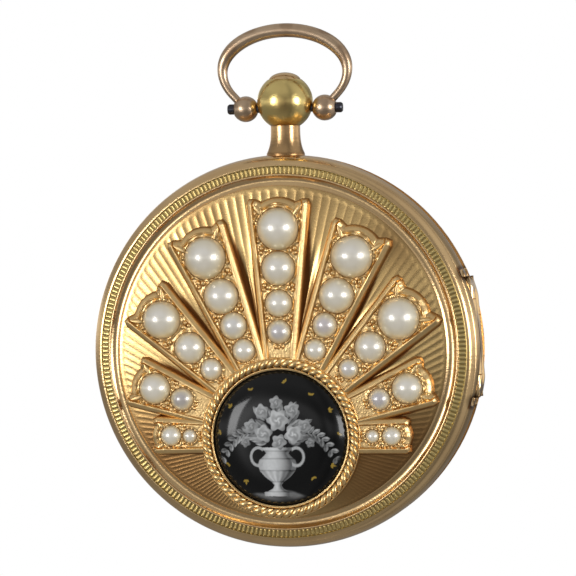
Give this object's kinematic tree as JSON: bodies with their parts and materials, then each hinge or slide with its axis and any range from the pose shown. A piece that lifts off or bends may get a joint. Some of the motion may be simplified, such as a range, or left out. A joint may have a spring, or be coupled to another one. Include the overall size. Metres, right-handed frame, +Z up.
{
  "type": "chatelaine watch",
  "caption": "Lady's key-wound pendant watch in a hinged gold case, its back set with rays of half pearls round an enamel medallion, hanging from a swivelling bow.",
  "frame": {"origin": "the inside top of the bow, where a hook carries the watch", "axes": "+Z up, towards the top of the bow; +X to the right as seen from the pearl-set back; the back faces -Y and the crystal +Y"},
  "size_m": [0.049, 0.0145, 0.0655],
  "materials": {
    "rose_gold": "polished rose gold",
    "olive_gold": "polished yellow gold",
    "yellow_gold": "polished yellow gold",
    "engine_turned_gold": "engine-turned gold",
    "gilt_brass": "matt fire gilding",
    "blued_steel": "blued and polished",
    "steel": "polished",
    "pearl": "nacre lustre",
    "black_enamel": "glossy",
    "white_enamel": "glossy",
    "crystal_glass": "polished"
  },
  "bodies": {
    "bow": {"bow": "rose_gold"},
    "case": {"case_band": "rose_gold", "pendant": "olive_gold", "bow_screws": "blued_steel", "lock_spring": "blued_steel", "back_hinge_pin": "steel", "bezel_hinge_pin": "steel", "dial": "white_enamel", "main_plate": "gilt_brass", "barrel_bridge": "gilt_brass", "centre_bar": "gilt_brass", "third_bar": "gilt_brass", "fourth_bar": "gilt_brass", "escape_bar": "gilt_brass", "balance_cock": "gilt_brass", "hairspring": "blued_steel", "bridge_screws": "blued_steel", "case_screws": "blued_steel"},
    "back_cover": {"back_cover": "engine_turned_gold", "ray_centre": "rose_gold", "ray_left_1": "rose_gold", "ray_left_2": "rose_gold", "ray_left_3": "rose_gold", "ray_left_4": "rose_gold", "ray_right_1": "rose_gold", "ray_right_2": "rose_gold", "ray_right_3": "rose_gold", "ray_right_4": "rose_gold", "pearls_centre": "pearl", "pearls_left_1": "pearl", "pearls_left_2": "pearl", "pearls_left_3": "pearl", "pearls_left_4": "pearl", "pearls_right_1": "pearl", "pearls_right_2": "pearl", "pearls_right_3": "pearl", "pearls_right_4": "pearl", "medallion_ring": "rose_gold", "medallion_enamel": "black_enamel"},
    "cuvette": {"cuvette": "yellow_gold"},
    "bezel": {"bezel": "rose_gold", "crystal": "crystal_glass"},
    "push_piece": {"push_piece": "rose_gold"},
    "centre_arbor": {"centre_wheel": "gilt_brass", "cannon_pinion": "steel", "minute_hand": "blued_steel"},
    "hour_arbor": {"hour_wheel": "gilt_brass", "hour_hand": "blued_steel"},
    "minute_wheel": {"minute_wheel": "gilt_brass"},
    "third_wheel": {"third_wheel": "gilt_brass"},
    "fourth_wheel": {"fourth_wheel": "gilt_brass"},
    "escape_wheel": {"escape_wheel": "steel"},
    "barrel": {"barrel": "gilt_brass", "mainspring": "blued_steel"},
    "winding_arbor": {"winding_arbor": "steel", "ratchet_wheel": "steel"},
    "ratchet_click": {"ratchet_click": "steel"},
    "balance": {"balance": "gilt_brass"},
    "regulator": {"regulator": "blued_steel"}
  },
  "joints": [
    {"name": "case_swing", "type": "hinge", "parent": "bow", "child": "case", "pos_m": [0, 0, -0.00887], "axis": [1, 0, 0], "range_deg": [-110, 110]},
    {"name": "back_cover_hinge", "type": "hinge", "parent": "case", "child": "back_cover", "pos_m": [0.02344, -0.0012, -0.03754], "axis": [-0.0698, 0, 0.9976], "range_deg": [0, 90]},
    {"name": "cuvette_hinge", "type": "hinge", "parent": "case", "child": "cuvette", "pos_m": [0.02344, -0.0012, -0.03754], "axis": [-0.0698, 0, 0.9976], "range_deg": [0, 63.1]},
    {"name": "bezel_hinge", "type": "hinge", "parent": "case", "child": "bezel", "pos_m": [0.02344, 0.0014, -0.03754], "axis": [0.0698, 0, -0.9976], "range_deg": [0, 90]},
    {"name": "push_piece_press", "type": "slide", "parent": "case", "child": "push_piece", "axis": [0, 0, -1], "range_m": [0, 0.0009], "stiffness_N_per_m": 100, "deforming": ["lock_spring"]},
    {"name": "fourth_wheel_turn", "type": "hinge", "parent": "case", "child": "fourth_wheel", "pos_m": [0.00863, 0, -0.04421], "axis": [0, -1, 0], "continuous": true},
    {"name": "centre_arbor_turn", "type": "hinge", "parent": "case", "child": "centre_arbor", "pos_m": [0, 0, -0.03918], "axis": [0, -1, 0], "continuous": true},
    {"name": "hour_arbor_turn", "type": "hinge", "parent": "case", "child": "hour_arbor", "pos_m": [0, 0, -0.03918], "axis": [0, -1, 0], "continuous": true},
    {"name": "minute_wheel_turn", "type": "hinge", "parent": "case", "child": "minute_wheel", "pos_m": [-0.00052, 0, -0.04213], "axis": [0, -1, 0], "continuous": true},
    {"name": "third_wheel_turn", "type": "hinge", "parent": "case", "child": "third_wheel", "pos_m": [0.0068, 0, -0.03918], "axis": [0, -1, 0], "continuous": true},
    {"name": "escape_wheel_turn", "type": "hinge", "parent": "case", "child": "escape_wheel", "pos_m": [0.00954, 0, -0.04907], "axis": [0, -1, 0], "continuous": true},
    {"name": "barrel_turn", "type": "hinge", "parent": "case", "child": "barrel", "pos_m": [-0.00779, 0, -0.03467], "axis": [0, -1, 0], "continuous": true},
    {"name": "winding_arbor_turn", "type": "hinge", "parent": "case", "child": "winding_arbor", "pos_m": [-0.00779, 0, -0.03467], "axis": [0, -1, 0], "continuous": true},
    {"name": "click_pivot", "type": "hinge", "parent": "case", "child": "ratchet_click", "pos_m": [-0.00852, 0, -0.03054], "axis": [0, -1, 0], "range_deg": [0, 10], "stiffness_Nm_per_rad": 0.00001},
    {"name": "balance_swing", "type": "hinge", "parent": "case", "child": "balance", "pos_m": [0.00601, 0, -0.05048], "axis": [0, -1, 0], "range_deg": [-130, 130], "stiffness_Nm_per_rad": 0.000001},
    {"name": "regulator_turn", "type": "hinge", "parent": "case", "child": "regulator", "pos_m": [0.00601, 0, -0.05048], "axis": [0, -1, 0], "range_deg": [-25, 25]}
  ],
  "couplings": [
    {"joint": "cuvette_hinge", "follows": "back_cover_hinge", "ratio": 0.7},
    {"joint": "centre_arbor_turn", "follows": "fourth_wheel_turn", "ratio": 0.016667},
    {"joint": "hour_arbor_turn", "follows": "fourth_wheel_turn", "ratio": 0.0013889},
    {"joint": "minute_wheel_turn", "follows": "fourth_wheel_turn", "ratio": -0.0055556},
    {"joint": "third_wheel_turn", "follows": "fourth_wheel_turn", "ratio": -0.125},
    {"joint": "escape_wheel_turn", "follows": "fourth_wheel_turn", "ratio": -10},
    {"joint": "barrel_turn", "follows": "fourth_wheel_turn", "ratio": -0.0020833}
  ]
}
